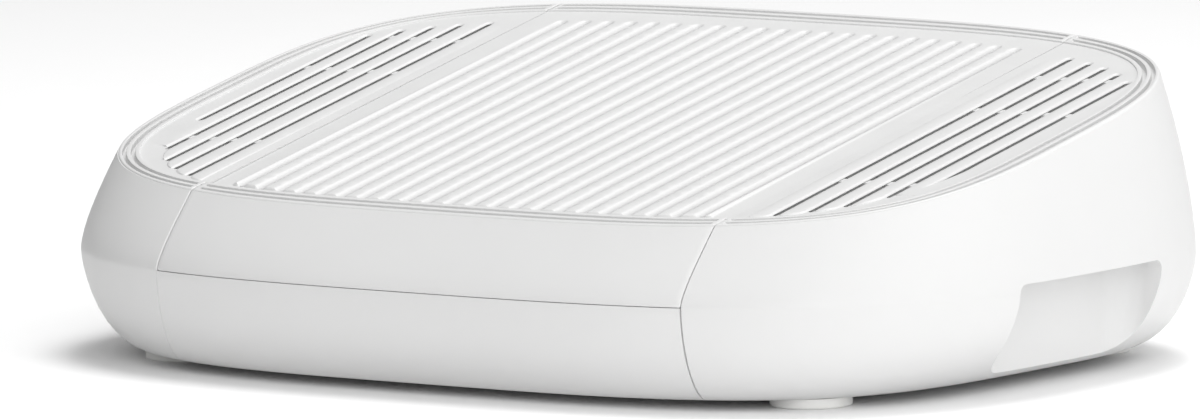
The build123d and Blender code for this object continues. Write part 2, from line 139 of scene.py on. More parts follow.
# ============================ camera, floor, light ============================
def add_camera():
    """Long lens from the front right, barely above the tread."""
    azimuth, elevation, roll = math.radians(36.044), math.radians(6.649), math.radians(-0.880)
    distance = 8.105
    target = Vector((-0.01785, 0.0, 0.0607))
    back = Vector((math.sin(azimuth) * math.cos(elevation),
                   -math.cos(azimuth) * math.cos(elevation), math.sin(elevation)))
    right = (-back).cross(Vector((0, 0, 1))).normalized()
    up = right.cross(-back)
    right, up = (math.cos(roll) * right + math.sin(roll) * up,
                 math.cos(roll) * up - math.sin(roll) * right)
    data = bpy.data.cameras.new("camera")
    data.sensor_width = 36.0
    data.lens = 541.98
    data.shift_x = -0.00255
    data.shift_y = 0.00683
    data.clip_end = 60.0
    camera = bpy.data.objects.new("camera", data)
    turn = Matrix((right, up, back)).transposed().to_4x4()
    camera.matrix_world = Matrix.Translation(target + back * distance) @ turn
    bpy.context.scene.collection.objects.link(camera)
    bpy.context.scene.camera = camera


add_camera()


# ============================ mesh tools ============================
class Skin:
    """Vertices and faces of one closed surface, in millimetres."""

    def __init__(self):
        self.points = []
        self.faces = []

    def add(self, points):
        start = len(self.points)
        self.points.extend(tuple(float(c) for c in p) for p in points)
        return list(range(start, len(self.points)))

    def strip(self, first, second, closed=False):
        """Quads between two rows of vertices."""
        count = len(first) if closed else len(first) - 1
        for i in range(count):
            j = (i + 1) % len(first)
            self.faces.append((first[i], first[j], second[j], second[i]))

    def fill(self, loops, plane=(0, 1), extra=()):
        """Triangles over a flat region: the even-odd inside of all its closed loops."""
        ids = [i for loop in loops for i in loop] + list(extra)
        flat = np.array([[self.points[i][plane[0]], self.points[i][plane[1]]] for i in ids])
        edges = []
        start = 0
        for loop in loops:
            n = len(loop)
            edges += [(start + k, start + (k + 1) % n) for k in range(n)]
            start += n
        result = delaunay_2d_cdt([Vector(p) for p in flat], edges, [], 0, 1e-7, True)
        where, triangles, origin = result[0], result[2], result[3]
        a = flat[[e[0] for e in edges]]
        b = flat[[e[1] for e in edges]]
        for tri in triangles:
            cx = sum(where[k][0] for k in tri) / 3
            cy = sum(where[k][1] for k in tri) / 3
            crosses = (a[:, 1] > cy) != (b[:, 1] > cy)
            with np.errstate(divide="ignore", invalid="ignore"):
                at = a[:, 0] + (cy - a[:, 1]) * (b[:, 0] - a[:, 0]) / (b[:, 1] - a[:, 1])
            if np.count_nonzero(crosses & (at > cx)) % 2:
                self.faces.append(tuple(ids[origin[k][0]] for k in tri))

    def object(self, name, mirror=False):
        """A Blender object in metres, with its faces turned outwards."""
        sign = -1.0 if mirror else 1.0
        mesh = bpy.data.meshes.new(name)
        points = [(sign * x * MM, y * MM, z * MM) for x, y, z in self.points]
        mesh.from_pydata(points, [], [f for f in self.faces if len(set(f)) == len(f)])
        shape = bmesh.new()
        shape.from_mesh(mesh)
        bmesh.ops.remove_doubles(shape, verts=shape.verts, dist=1e-7)
        bmesh.ops.recalc_face_normals(shape, faces=shape.faces)
        shape.to_mesh(mesh)
        shape.free()
        piece = bpy.data.objects.new(name, mesh)
        bpy.context.scene.collection.objects.link(piece)
        return piece


def cut(piece, tool):
    """Boolean difference, applied."""
    modifier = piece.modifiers.new("cut", "BOOLEAN")
    modifier.operation = "DIFFERENCE"
    modifier.solver = "EXACT"
    modifier.object = tool
    depsgraph = bpy.context.evaluated_depsgraph_get()
    mesh = bpy.data.meshes.new_from_object(piece.evaluated_get(depsgraph))
    piece.modifiers.clear()
    piece.data = mesh
    bpy.data.objects.remove(tool)
    return piece


def finish_shell(piece, body, node, sharp_degrees=32.0):
    """Smooth shading that keeps the true edges, then onto its body in place of the CAD node."""
    mesh = piece.data
    mesh.name = piece.name
    for polygon in mesh.polygons:
        polygon.use_smooth = True
    shape = bmesh.new()
    shape.from_mesh(mesh)
    limit = math.radians(sharp_degrees)
    for edge in shape.edges:
        edge.smooth = not edge.is_manifold or edge.calc_face_angle(0.0) < limit
    shape.to_mesh(mesh)
    shape.free()
    weighted = piece.modifiers.new("weighted_normals", "WEIGHTED_NORMAL")
    weighted.keep_sharp = True
    weighted.weight = 60
    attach(piece, body)
    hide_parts(node)
    mesh.materials.clear()
    mesh.materials.append(shell_plastic)
    return piece


# ============================ the outer form ============================
def superellipse_y(x, half_width, half_depth, power):
    return half_depth * (1 - np.abs(x / half_width) ** power) ** (1 / power)


def end_curve(fractions, half_width, half_depth, power, shift, face):
    """Plan points around an end, from the front seam (-1) to the back seam (+1)."""
    half_angle = math.atan2(superellipse_y(face, half_width, half_depth, power), face)
    angle = np.asarray(fractions) * half_angle
    reach = (np.abs(np.cos(angle)) / half_width) ** power
    reach = reach + (np.abs(np.sin(angle)) / half_depth) ** power
    radius = reach ** (-1 / power)
    return np.stack([radius * np.cos(angle), radius * np.sin(angle) + shift], 1)


def side_curve(side, xs, half_width, half_depth, power, shift, face):
    """Plan points along the front (side -1) or the back (side +1)."""
    return np.stack([xs, shift + side * superellipse_y(xs, half_width, half_depth, power)], 1)


def upper_level(rise, inset=0.0, drop=0.0):
    """Outline, base height and slope of one level between the crease (0) and the rim (1)."""
    lean = rise ** SHOULDER_POWER
    outline = (
        CREASE[0] + (RIM[0] - CREASE[0]) * lean - inset,
        CREASE[1] + (RIM[1] - CREASE[1]) * lean - inset,
        CREASE[2] + (RIM[2] - CREASE[2]) * rise,
        RIM_SHIFT * lean,
    )
    return outline, CREASE_Z + (RIM_Z - drop - CREASE_Z) * rise, SLOPE * rise


def lower_level(turn, inset=0.0, floor_z=None):
    """Outline and height of one level of the bowl, from the crease (0) to the base (pi / 2)."""
    floor_z = BASE_Z if floor_z is None else floor_z
    depth = math.sin(turn) ** BOWL_DEPTH_POWER
    side = 1 - math.cos(turn)
    front = 1 - max(0.0, 1 - depth ** 2) ** BOWL_FRONT_POWER
    outline = (
        CREASE[0] + (BASE[0] - CREASE[0]) * side - inset,
        CREASE[1] + (BASE[1] - CREASE[1]) * front - inset,
        CREASE[2] + (BASE[2] - CREASE[2]) * depth ** 2,
        0.0,
    )
    return outline, CREASE_Z - (CREASE_Z - floor_z) * depth, 0.0


def rim_level(offset):
    """Outline on the rim plane; its corners tighten inwards, so that the band keeps its width."""
    outline = (RIM[0] - offset, RIM[1] - offset, RIM[2] + RIM_TIGHTEN * offset, RIM_SHIFT)
    return outline, RIM_Z, SLOPE


def place(curve, level, face, drop=0.0):
    """3-D points of a level's outline along a curve function."""
    outline, height, slope = level
    plan = curve(*outline, face)
    return np.column_stack([plan, height + slope * plan[:, 1] - drop])


def rim_profile():
    """(offset, drop, is it in a groove) across the rim band, from its outer edge inwards."""
    r = 0.45                                  # rounding of the ridges' edges
    rows = [(0.06, 0.75, 0), (0.28, 0.36, 0), (0.66, 0.1, 0), (1.1, 0.0, 0)]
    offset = 0.0
    for ridge in range(3):
        if ridge:
            rows += [(offset, r, 1), (offset + 0.3 * r, 0.3 * r, 1), (offset + r, 0.0, 0)]
        inner = offset + RIDGE
        rows += [(inner - r, 0.0, 0), (inner - 0.3 * r, 0.3 * r, 1), (inner, r, 1)]
        if ridge < 2:
            deep = RIM_GROOVE_DEPTH
            rows += [(inner, deep - 0.5, 1), (inner + 0.15, deep - 0.15, 1), (inner + 0.5, deep, 1)]
            far = inner + RIM_GROOVE
            rows += [(far - 0.5, deep, 1), (far - 0.15, deep - 0.15, 1), (far, deep - 0.5, 1)]
            offset = far
    return rows


def outer_rows(skin, curve, face, bridged, soft_crease, lower):
    """Rows of vertices from the recess edge over the rim and down the wall to the base."""
    rows = []
    profile = rim_profile()
    last = profile[-1][0]
    rows.append(place(curve, rim_level(last), face, PLATE_DROP))
    for offset, drop, grooved in reversed(profile):
        row = place(curve, rim_level(offset), face, 0.0)
        in_band = RIDGE - 0.5 < offset < RIM_BAND - RIDGE + 0.5
        row[:, 2] -= np.where(bridged, 0.0, drop) if grooved and in_band else drop
        rows.append(row)
    rises = [0.985, 0.95, 0.89, 0.81, 0.72, 0.62, 0.52, 0.42, 0.32, 0.22, 0.13, 0.06]
    rows += [place(curve, upper_level(r), face) for r in rises]
    if soft_crease:
        above = place(curve, upper_level(0.02), face)
        below = place(curve, lower_level(0.13), face)
        edge = place(curve, upper_level(0.0), face)
        rows += [above, edge * 0.6 + (above + below) * 0.2, below]
    else:
        rows += [place(curve, upper_level(0.025), face), place(curve, upper_level(0.012), face)]
        rows.append(place(curve, upper_level(0.008, 0.2), face))
    if lower:
        turns = [0.26, 0.42, 0.58, 0.74, 0.9, 1.04, 1.17, 1.29, 1.39, 1.48, math.pi / 2]
        rows += [place(curve, lower_level(t), face) for t in turns]
    rim_rows = len(profile) + 1
    for i, row in enumerate(rows):
        for end in (0, -1):
            if i < rim_rows:
                row[end, 2] -= 0.0 if i == 0 else SEAM_EDGE * 0.4
            else:
                row[end, 1] -= math.copysign(SEAM_EDGE * 0.7, row[end, 1])
    return [skin.add(row) for row in rows]


def round_end(center_x, center_y, radius, start, stop, steps):
    angles = np.radians(np.linspace(start, stop, steps + 1))
    return [(center_x + radius * math.cos(a), center_y + radius * math.sin(a)) for a in angles]


def groove_span(x):
    """Centres of the round ends of the groove at X: its front and its back."""
    x = min(abs(x), FRONT_ENDS[0] - 1)
    return (RIM_SHIFT - superellipse_y(x, *FRONT_ENDS) + GROOVE_WIDTH / 2,
            RIM_SHIFT + superellipse_y(x, *BACK_ENDS) - GROOVE_WIDTH / 2)


# ============================ materials ============================
def plastic(name, color, shade, roughness, grain, grain_depth, specular=0.5):
    """Moulded plastic: spark-eroded grain, faint flow marks, colour and gloss that drift."""
    material = bpy.data.materials.new(name)
    material.use_nodes = True
    nodes, links = material.node_tree.nodes, material.node_tree.links
    shader = nodes["Principled BSDF"]
    shader.inputs["Specular IOR Level"].default_value = specular
    place_at = nodes.new("ShaderNodeTexCoord").outputs["Object"]

    def noise(scale, detail, roughness_value=0.5):
        node = nodes.new("ShaderNodeTexNoise")
        node.inputs["Scale"].default_value = scale
        node.inputs["Detail"].default_value = detail
        node.inputs["Roughness"].default_value = roughness_value
        links.new(place_at, node.inputs["Vector"])
        return node.outputs["Fac"]

    def spread(source, low, high):
        node = nodes.new("ShaderNodeMapRange")
        node.inputs["From Min"].default_value = 0.3
        node.inputs["From Max"].default_value = 0.7
        node.inputs["To Min"].default_value = low
        node.inputs["To Max"].default_value = high
        links.new(source, node.inputs["Value"])
        return node.outputs["Result"]

    drift = noise(9.0, 3.0)
    fine = noise(grain, 2.0, 0.6)
    tint = nodes.new("ShaderNodeMix")
    tint.data_type = "RGBA"
    tint.inputs[6].default_value = (*[c * shade for c in color], 1)
    tint.inputs[7].default_value = (*color, 1)
    mixed = nodes.new("ShaderNodeMath")
    mixed.operation = "ADD"
    links.new(spread(drift, 0.0, 0.6), mixed.inputs[0])
    links.new(spread(fine, 0.0, 0.4), mixed.inputs[1])
    links.new(mixed.outputs[0], tint.inputs[0])
    links.new(tint.outputs[2], shader.inputs["Base Color"])
    rough = nodes.new("ShaderNodeMath")
    rough.operation = "ADD"
    links.new(spread(noise(60.0, 4.0), roughness - 0.05, roughness + 0.05), rough.inputs[0])
    links.new(spread(fine, -0.04, 0.04), rough.inputs[1])
    links.new(rough.outputs[0], shader.inputs["Roughness"])
    bump = nodes.new("ShaderNodeBump")
    bump.inputs["Strength"].default_value = 0.35
    bump.inputs["Distance"].default_value = grain_depth
    links.new(fine, bump.inputs["Height"])
    swell = nodes.new("ShaderNodeBump")
    swell.inputs["Strength"].default_value = 0.25
    swell.inputs["Distance"].default_value = 0.0006
    links.new(noise(14.0, 1.0), swell.inputs["Height"])
    links.new(bump.outputs[0], swell.inputs["Normal"])
    links.new(swell.outputs[0], shader.inputs["Normal"])
    return material


def zinc(name):
    """Zinc-plated steel: brushed streaks and cloudy bright and dull patches."""
    material = bpy.data.materials.new(name)
    material.use_nodes = True
    nodes, links = material.node_tree.nodes, material.node_tree.links
    shader = nodes["Principled BSDF"]
    shader.inputs["Metallic"].default_value = 1.0
    place_at = nodes.new("ShaderNodeTexCoord").outputs["Object"]
    cloud = nodes.new("ShaderNodeTexNoise")
    cloud.inputs["Scale"].default_value = 900.0
    links.new(place_at, cloud.inputs["Vector"])
    stretch = nodes.new("ShaderNodeMapping")
    stretch.inputs["Scale"].default_value = (6000.0, 400.0, 400.0)
    links.new(place_at, stretch.inputs["Vector"])
    streak = nodes.new("ShaderNodeTexNoise")
    streak.inputs["Scale"].default_value = 1.0
    links.new(stretch.outputs[0], streak.inputs["Vector"])
    ramp = nodes.new("ShaderNodeValToRGB")
    ramp.color_ramp.elements[0].color = (0.42, 0.43, 0.45, 1)
    ramp.color_ramp.elements[1].color = (0.68, 0.69, 0.71, 1)
    links.new(cloud.outputs["Fac"], ramp.inputs[0])
    links.new(ramp.outputs[0], shader.inputs["Base Color"])
    rough = nodes.new("ShaderNodeMapRange")
    rough.inputs["To Min"].default_value = 0.22
    rough.inputs["To Max"].default_value = 0.5
    links.new(streak.outputs["Fac"], rough.inputs["Value"])
    links.new(rough.outputs[0], shader.inputs["Roughness"])
    bump = nodes.new("ShaderNodeBump")
    bump.inputs["Strength"].default_value = 0.3
    bump.inputs["Distance"].default_value = 0.00003
    links.new(streak.outputs["Fac"], bump.inputs["Height"])
    links.new(bump.outputs[0], shader.inputs["Normal"])
    return material


shell_plastic = plastic("shell_plastic", (0.69, 0.69, 0.688), shade=0.985, roughness=0.46,
                        grain=1600.0, grain_depth=0.00005)
slide_plastic = plastic("slide_plastic", (0.74, 0.74, 0.72), shade=0.96, roughness=0.34,
                        grain=900.0, grain_depth=0.00003)
catch_plastic = plastic("catch_plastic", (0.76, 0.76, 0.74), shade=0.96, roughness=0.36,
                        grain=900.0, grain_depth=0.00003)
foot_rubber = plastic("foot_rubber", (0.78, 0.78, 0.765), shade=0.95, roughness=0.72,
                      grain=2400.0, grain_depth=0.00008, specular=0.3)
screw_steel = zinc("screw_steel")
BY_SLOT = {
    "shell_plastic": shell_plastic,
    "slide_plastic": slide_plastic,
    "catch_plastic": catch_plastic,
    "foot_rubber": foot_rubber,
    "screw_steel": screw_steel,
}
for subpart in frame["record"]["subparts"]:
    mesh = frame["nodes"][subpart["node"]].data
    if not mesh.materials:
        mesh.materials.append(None)
    for index in range(len(mesh.materials)):
        mesh.materials[index] = BY_SLOT[subpart["material_slot"]]


# ============================ ribbed top ============================
EDGE_RIB = 132.4                          # outer side of the narrow rib beside each seam
BIN_RIB = 149.2                           # inner side of the first rib of a bin
STRIP_BACK = 104.0                        # here the low strip beside the seam meets the land
# the outermost slot: front end of its outer wall, and how much further forward its inner wall is
LONE_ENDS = {"left": (-43.5, 0.0), "right": (-46.0, 26.0)}
# rounding of a groove's mouth, depth of a groove, crown of the ribs, slope where the rounding
# begins, reach of the ribs' noses, how far grooves start behind the curve of front ends, and how
# far the ribs are undercut
Style = namedtuple("Style", "rounding deepest crown first_slope reach behind undercut")
CENTER_STYLE = Style(3.1, 4.1, 0.38, math.radians(15), 1.8, 0.9, 0.0)
BIN_STYLE = Style(2.0, 3.0, 0.3, math.radians(12), 3.4, -3.0, 2.2)
NOSE_STEPS = 12
NOSE_POWER = 2.4
NOSE_WAY = 0.75                           # how far a nose's rounding leans forward
CROWN_FADE = (4.0, 9.0)                   # lengths over which a crown fades, front and back
GUTTER_FADE = 8.0                         # a bin's gutter fades from this far short of its last slot
LIP_SLOPE = math.radians(58)
OPENING_RAMP = 3.0                        # length over which a groove sinks to its full depth
MOUTH_STEPS = 7
WALL_STEPS = 60
SLOT_DEPTH = 6.2                          # cuts into the hollow of a bin


def plane_z(y, drop):
    return RIM_Z + SLOPE * y - drop


def style_at(x):
    return CENTER_STYLE if abs(x) < SEAM else BIN_STYLE


def slot_front(x):
    return groove_span(x)[0] + style_at(x).behind


def gutter_drop(x):
    return CENTER_GUTTER if abs(x) < SEAM else BIN_GUTTER


def strip_drop(x, y):
    """Depth of the low strip beside a seam: as deep as the gutter in front, flush at the back."""
    front = RIM_SHIFT - RIM_B + RIM_BAND
    share = min(1.0, max(0.0, (y - front) / (STRIP_BACK - front))) ** 0.5
    return gutter_drop(x) + (PLATE_DROP - gutter_drop(x)) * share


def strip_wall(x, inwards):
    """Side of a rib beside the strip, from back to front: (x, y, floor drop, way to the rib)."""
    ys = np.linspace(STRIP_BACK, slot_front(x), WALL_STEPS)
    return [(x, y, strip_drop(x, y), (inwards, 0.0), 0.0) for y in ys]


def nose(x_left, x_right):
    """Rounded front of a rib between two X positions, without its two end points."""
    points = []
    y_left, y_right = slot_front(x_left), slot_front(x_right)
    middle, half = (x_left + x_right) / 2, (x_right - x_left) / 2
    reach = style_at(middle).reach
    for k in range(1, NOSE_STEPS):
        s = (1 - math.cos(math.pi * k / NOSE_STEPS)) / 2
        u = 2 * s - 1
        bulge = reach * (1 - abs(u) ** NOSE_POWER) ** (1 / NOSE_POWER)
        x = middle + half * u
        y = y_left + (y_right - y_left) * s - bulge
        points.append((x, y, gutter_drop(x), (-u, NOSE_WAY * bulge / reach), 0.0))
    return points


def slot_side(x, side, upwards, deepest):
    """One long wall of a groove: side -1 is its left wall, whose rib lies to the left."""
    ys = np.linspace(slot_front(x + side * GROOVE_WIDTH / 2), groove_span(x)[1], WALL_STEPS)
    wall = []
    for y in ys:
        share = min(1.0, (y - ys[0]) / OPENING_RAMP)
        floor = gutter_drop(x) + (deepest - gutter_drop(x)) * share
        wall.append((x + side * GROOVE_WIDTH / 2, y, floor, (side, 0.0), share))
    return wall if upwards else wall[::-1]


def slot_back(x, deepest):
    """Round back end of a groove, from its left wall to its right wall, without the end points."""
    y = groove_span(x)[1]
    points = []
    for angle in np.radians(np.linspace(180, 0, 9))[1:-1]:
        out = (math.cos(angle), math.sin(angle))
        points.append((x + GROOVE_WIDTH / 2 * out[0], y + GROOVE_WIDTH / 2 * out[1],
                       deepest, out, 1.0))
    return points


def stadium(x, front, slant, back, offset):
    """Closed plan loop of a slot with two round ends; the front end may be cut at a slant."""
    radius = GROOVE_WIDTH / 2 + offset
    loop = [(px, py - slant * (x + radius - px) / (2 * radius))
            for px, py in round_end(x, front, radius, 180, 360, 10)]
    loop += [(x + radius, y) for y in np.linspace(front, back, WALL_STEPS)[1:-1]]
    loop += round_end(x, back, radius, 0, 180, 10)
    return loop + [(x - radius, y) for y in np.linspace(back, front - slant, WALL_STEPS)[1:-1]]


def groove_profile(style):
    """Levels of a groove's wall from its mouth down: (offset, drop) when plain and undercut."""
    rounding, deepest, undercut = style.rounding, style.deepest, style.undercut
    first_slope = style.first_slope
    last_slope = LIP_SLOPE if undercut else math.pi / 2
    levels = []
    for k in range(MOUTH_STEPS):
        pair = []
        for stop in (math.pi / 2, last_slope):
            t = first_slope + (stop - first_slope) * k / (MOUTH_STEPS - 1)
            pair.append((rounding * (1 - math.sin(t)),
                         PLATE_DROP + rounding * (math.cos(first_slope) - math.cos(t))))
        levels.append(pair)
    lip = levels[-1][1]
    levels.append(((0.0, deepest), (undercut, lip[1] + 0.5 if undercut else deepest)))
    levels.append(((0.0, deepest + 0.05), (undercut, deepest + 0.05)))
    return levels


def crown_points(ribs, style):
    """Points along the tops of the ribs, lifted into a low crown that fades at both ends."""
    rounding, crown = style.rounding, style.crown
    points = []
    for left, right in ribs:
        middle, half = (left + right) / 2, (right - left) / 2 - rounding * 0.75
        front = slot_front(middle) - style.reach / 2
        back = groove_span(middle)[1]
        for u in (-0.6, 0.0, 0.6):
            lift = crown * (1 - u * u)
            for y in np.linspace(front + 1.2, back - 1.0, 34):
                fade = min(1.0, (y - front) / CROWN_FADE[0], max(0.0, (back - y) / CROWN_FADE[1]))
                points.append((middle + u * half, y, plane_z(y, PLATE_DROP - lift * fade)))
    return points


def ribbed_top(skin, slots, start, end, seam_start, front_row, tail_ids, ribs, deep, style,
               lone=()):
    """Plate, rib noses, gutter and grooves between the rim rows.

    start and end are the comb's first and last stretches. seam_start and tail_ids are the
    vertices that close the plate behind the comb; front_row closes the gutter in front of it.
    lone holds the slots that end on the flat land: (x, front end, slant, back end).
    """
    deepest = style.deepest
    edges = [start[-1][0]]
    for x in slots:
        edges += [x - GROOVE_WIDTH / 2, x + GROOVE_WIDTH / 2]
    comb = list(start)
    fronts = []                               # where each groove's walls begin and end in the comb
    for i, x in enumerate(slots):
        comb += nose(edges[2 * i], edges[2 * i + 1])
        first = len(comb)
        comb += slot_side(x, -1, True, deepest) + slot_back(x, deepest)
        comb += slot_side(x, 1, False, deepest)
        fronts.append((x, first, len(comb) - 1))
    if end["nose_to"] is not None:
        comb += nose(edges[-1], end["nose_to"])
    comb += end["points"]

    def row(plain, under):
        """One level of the comb; under is its (offset, drop) where the walls are undercut."""
        points = []
        for x, y, floor, way, share in comb:
            offset, drop = [p + (u - p) * share for p, u in zip(plain, under)]
            drop = min(drop, floor) if share < 1 else drop
            points.append((x + way[0] * offset, y + way[1] * offset,
                           plane_z(y + way[1] * offset, drop)))
        return skin.add(points)

    profile = groove_profile(style)
    rows = [row(plain, under) for plain, under in profile]
    for upper, lower in zip(rows, rows[1:]):
        skin.strip(upper, lower)
    top, low = rows[0], rows[-1]
    crest = crown_points(ribs, style)
    start_ids = [r[0] for r in reversed(rows)]
    end_ids = [r[-1] for r in rows]
    holes = []
    for x, front, slant, back in lone:
        rings = [under for _, under in profile] + [(profile[-1][1][0], deep)]
        loops = []
        for offset, drop in rings:
            outline = stadium(x, front, slant, back, offset)
            loops.append(skin.add([(px, py, plane_z(py, drop)) for px, py in outline]))
        for upper, lower in zip(loops, loops[1:]):
            skin.strip(upper, lower, closed=True)
        skin.fill([loops[-1]])
        holes.append(loops[0])
    plate = [seam_start] + start_ids + top[1:-1] + end_ids + tail_ids
    skin.fill([plate] + holes, extra=skin.add(crest))
    gutter = [seam_start] + low[:fronts[0][1] + 1]
    for i, (x, first, last) in enumerate(fronts):
        left, right = skin.points[low[first]], skin.points[low[last]]
        arc = []
        for k in range(1, 8):
            angle = math.pi + math.pi * k / 8
            y = (left[1] + right[1]) / 2 + GROOVE_WIDTH / 2 * math.sin(angle)
            arc.append((x + GROOVE_WIDTH / 2 * math.cos(angle), y, plane_z(y, gutter_drop(x))))
        arc = skin.add(arc)
        gutter += arc
        stop = fronts[i + 1][1] + 1 if i + 1 < len(fronts) else len(low)
        gutter += low[last:stop]
        mouth = low[first:last + 1] + arc[::-1]
        floor = skin.add([(skin.points[v][0], skin.points[v][1], plane_z(skin.points[v][1], deep))
                          for v in mouth])
        skin.strip(mouth, floor, closed=True)
        skin.fill([floor])
    gutter += front_row
    skin.fill([gutter])


# ============================ middle section: tread ============================
def center_rows(skin, side, edge_drop):
    """Rows of the front (side -1) or back (side +1); the recess edge lies at edge_drop."""
    xs = np.unique(np.concatenate([np.linspace(-CENTER_FACE, CENTER_FACE, 105),
                                   [-CENTER_FACE + BRIDGE - 0.1, CENTER_FACE - BRIDGE + 0.1],
                                   [-CENTER_FACE + SEAM_EDGE, CENTER_FACE - SEAM_EDGE]]))
    bridged = np.abs(xs) > CENTER_FACE - BRIDGE
    rows = outer_rows(skin, lambda *o: side_curve(side, xs, *o), CENTER_FACE, bridged, False, False)
    for vertex in rows[0]:
        x, y, _ = skin.points[vertex]
        skin.points[vertex] = (x, y, plane_z(y, edge_drop))
    for vertex in rows[-1]:
        x, y, _ = skin.points[vertex]
        skin.points[vertex] = (x, y, CREASE_Z + PARTING)
    for upper, lower in zip(rows, rows[1:]):
        skin.strip(upper, lower)
    return rows


def hollow(levels, curve, face):
    """Closed solid through stacked outlines, used to cut the inside of a shell."""
    skin = Skin()
    rows = [skin.add(place(curve, level, face)) for level in levels]
    for lower, upper in zip(rows, rows[1:]):
        skin.strip(lower, upper, closed=True)
    skin.fill([rows[0]])
    skin.fill([rows[-1]])
    return skin.object("hollow")


def ring_curve(count, middle):
    """Closed plan curve: both long sides of the middle section, or the end of a bin."""
    if middle:
        xs = np.linspace(-middle, middle, count)

        def curve(half_width, half_depth, power, shift, face):
            front = side_curve(-1, xs, half_width, half_depth, power, shift, face)
            back = side_curve(1, xs[::-1], half_width, half_depth, power, shift, face)
            return np.concatenate([front, back])
        return curve
    fractions = np.linspace(-1, 1, count)
    return lambda *outline: end_curve(fractions, *outline)


def block(low, high):
    """Box-shaped cutter between two corners."""
    skin = Skin()
    (x0, y0, z0), (x1, y1, z1) = low, high
    lower = skin.add([(x0, y0, z0), (x1, y0, z0), (x1, y1, z0), (x0, y1, z0)])
    upper = skin.add([(x0, y0, z1), (x1, y0, z1), (x1, y1, z1), (x0, y1, z1)])
    skin.strip(lower, upper, closed=True)
    skin.faces += [tuple(lower), tuple(upper)]
    return skin.object("block")


def make_tread():
    """Upper half of the middle section, as one hollow shell."""
    skin = Skin()
    front = center_rows(skin, -1, CENTER_GUTTER)
    back = center_rows(skin, 1, PLATE_DROP)
    seams = skin.add([(side * CENTER_FACE, STRIP_BACK, plane_z(STRIP_BACK, PLATE_DROP))
                      for side in (-1, 1)])
    slots = [(i - (GROOVE_COUNT - 1) / 2) * GROOVE_PITCH for i in range(GROOVE_COUNT)]
    start = strip_wall(-EDGE_RIB, 1.0)
    end = {"nose_to": EDGE_RIB, "points": strip_wall(EDGE_RIB, -1.0)[::-1]}
    ribs = [(a + GROOVE_WIDTH / 2, b - GROOVE_WIDTH / 2) for a, b in zip(slots, slots[1:])]
    tail = [seams[1]] + back[0][::-1]
    ribbed_top(skin, slots, start, end, seams[0], [seams[1]] + front[0][::-1], tail, ribs,
               GROOVE_DROP, CENTER_STYLE)
    skin.fill([front[-1] + back[-1][::-1]])
    for end_index, seam in ((0, seams[0]), (-1, seams[1])):
        cap = [row[end_index] for row in reversed(front)] + [seam]
        cap += [row[end_index] for row in back]
        skin.fill([cap], plane=(1, 2))
    tread = skin.object("tread_shell")
    inner = CENTER_FACE - INNER_WALL
    curve = ring_curve(61, inner)
    levels = [((CREASE[0] - WALL, CREASE[1] - WALL, CREASE[2], 0.0), CREASE_Z - 1.0, 0.0)]
    levels += [upper_level(r, WALL, TREAD_UNDERSIDE) for r in (0.02, 0.2, 0.4, 0.6, 0.8, 0.92, 1.0)]
    cut(tread, hollow(levels, curve, inner))
    along, across, deep = CATCH_WINDOW
    for side in (-1, 1):
        for y in (-CATCH_Y, CATCH_Y):
            top = plane_z(y, TREAD_UNDERSIDE)
            x = side * (CENTER_FACE - INNER_WALL / 2)
            cut(tread, block((x - along, y - across, top - deep),
                             (x + along, y + across, top + 0.1)))
    return finish_shell(tread, "center", "center_tread")


make_tread()


# ============================ bins ============================
def rounded_block(x0, half_width, top):
    """Cutter for the finger recess: open outwards and downwards, with rounded inner corners."""
    skin = Skin()
    plan = []
    corner, fillet = NOTCH_CORNER, NOTCH_FILLET
    for center_y, start in ((-half_width + corner, 270), (half_width - corner, 180)):
        plan += round_end(x0 + corner, center_y, corner, start, start - 90, 10)
    outside = x0 + 60
    plan = [(outside, -half_width)] + plan + [(outside, half_width)]
    lower = skin.add([(x, y, -5.0) for x, y in plan])
    rows = [lower]
    for turn in np.radians([0, 15, 30, 45, 60, 75, 90]):
        inset, z = fillet * (1 - math.cos(turn)), top - fillet * (1 - math.sin(turn))
        row = [(x + inset, y - math.copysign(inset, y), z) for x, y in plan]
        rows.append(skin.add(row))
    for a, b in zip(rows, rows[1:]):
        skin.strip(a, b, closed=True)
    skin.fill([rows[0]])
    skin.fill([rows[-1]])
    return skin.object("recess")


def pillar(skin, x, y, z0, z1, radius, tilt=0.0):
    """Closed round boss with a small rounding at its free end."""
    rows = []
    edge = 0.4
    for inset, z in ((0.0, z0), (0.0, z1 + (edge if z0 > z1 else -edge)), (edge, z1)):
        reach = radius - inset
        rows.append(skin.add([(x + reach * math.cos(a), y + reach * math.sin(a),
                               z + tilt * reach * math.sin(a))
                              for a in np.linspace(0, 2 * math.pi, 33)[:-1]]))
    for a, b in zip(rows, rows[1:]):
        skin.strip(a, b, closed=True)
    skin.faces += [tuple(rows[0]), tuple(rows[-1])]


